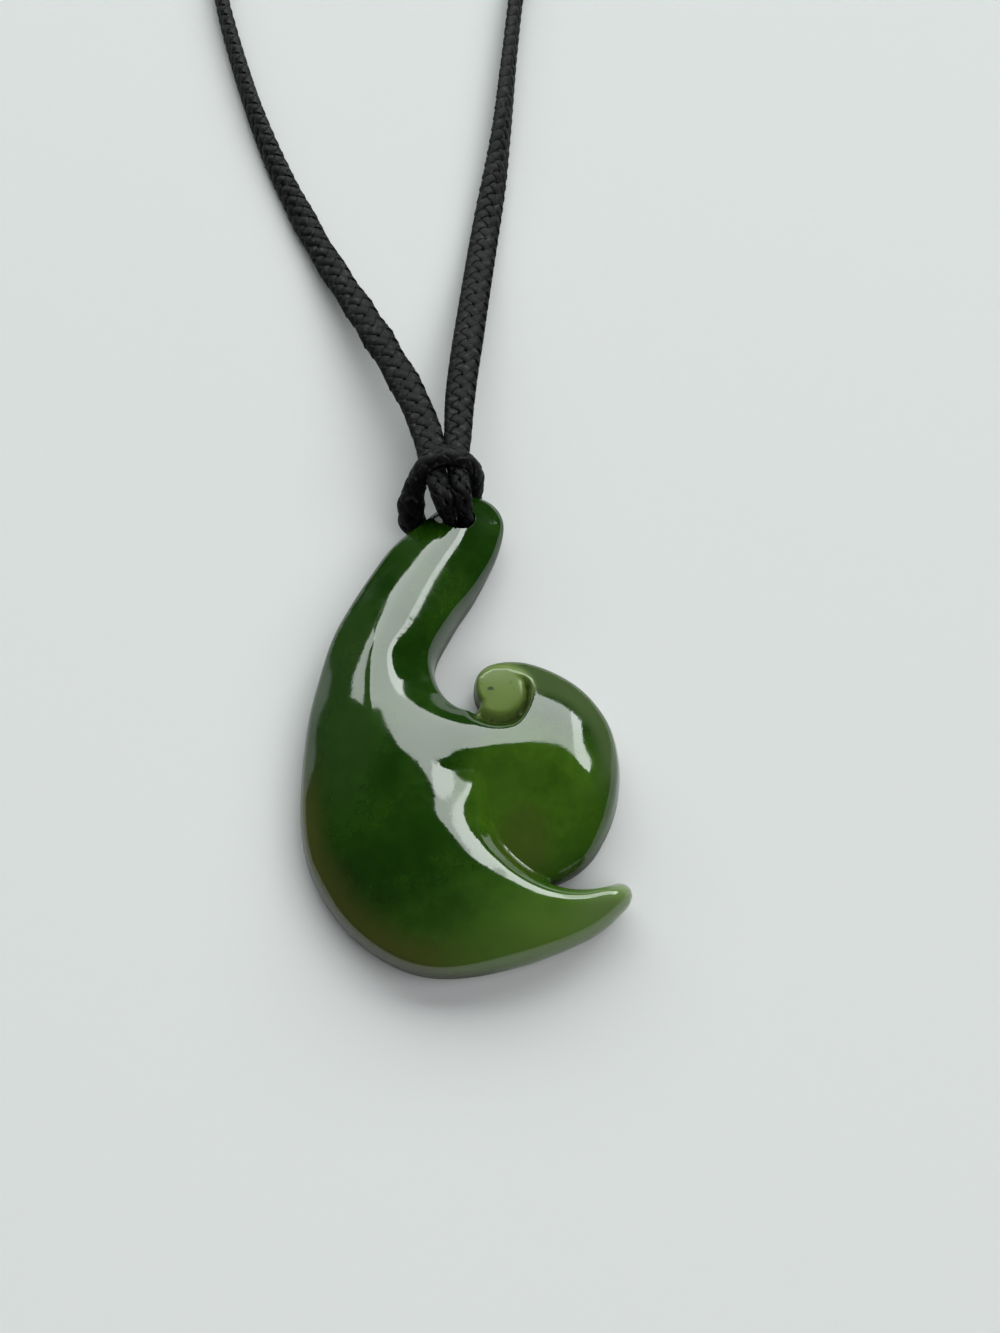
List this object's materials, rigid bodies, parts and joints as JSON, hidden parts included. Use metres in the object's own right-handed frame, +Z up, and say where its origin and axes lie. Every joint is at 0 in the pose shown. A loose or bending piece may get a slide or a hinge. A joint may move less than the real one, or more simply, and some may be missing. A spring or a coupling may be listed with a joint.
{
  "type": "jade fish hook pendant on a braided cord",
  "caption": "Carved green stone fish hook with a spiral arm, hung by a hitch on a closed loop of flat braided black cord, laid flat.",
  "frame": {"origin": "middle of the stone's outline, on the surface that it lies on", "axes": "+X to the right across the hook, +Y up the neck to the drilled hole and the cord, +Z up off the surface, out of the carved front"},
  "size_m": [0.0372, 0.2212, 0.0064],
  "materials": {
    "jade": "polished, translucent deep green",
    "cord": "waxed flat braid, black"
  },
  "bodies": {
    "root": {"fish_hook": "jade", "hitch": "cord", "cord_left": "cord", "cord_right": "cord", "closure": "cord"}
  },
  "joints": []
}
